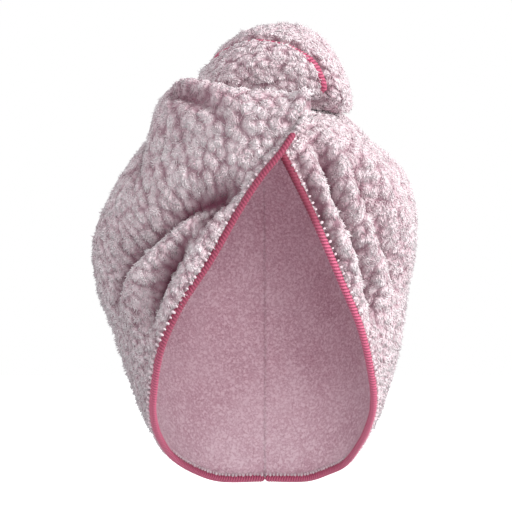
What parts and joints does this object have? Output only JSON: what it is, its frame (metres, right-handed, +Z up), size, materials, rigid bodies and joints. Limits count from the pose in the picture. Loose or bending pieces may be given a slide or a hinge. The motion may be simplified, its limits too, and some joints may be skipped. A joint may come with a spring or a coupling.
{
  "type": "hair turban towel",
  "caption": "Fleece hair-drying turban as worn: an open hood with two crossed wings, a puffed front band and a twisted bun that runs back to the nape.",
  "frame": {"origin": "underside of the crown, where the top of the head rests", "axes": "+Z up as worn, -Y towards the face opening, +X to the right of the front view"},
  "size_m": [0.2182, 0.2455, 0.3152],
  "materials": {
    "fleece": "chunky nubbed fleece outside, short plush inside",
    "overlock_thread": "dense overlocked thread",
    "fastener": "matt"
  },
  "bodies": {
    "root": {"left_panel": "fleece", "right_panel": "fleece", "twisted_tail": "fleece", "rim_overlock_left": "overlock_thread", "rim_overlock_right": "overlock_thread", "tail_overlock": "overlock_thread", "nape_fastener": "fastener"}
  },
  "joints": []
}
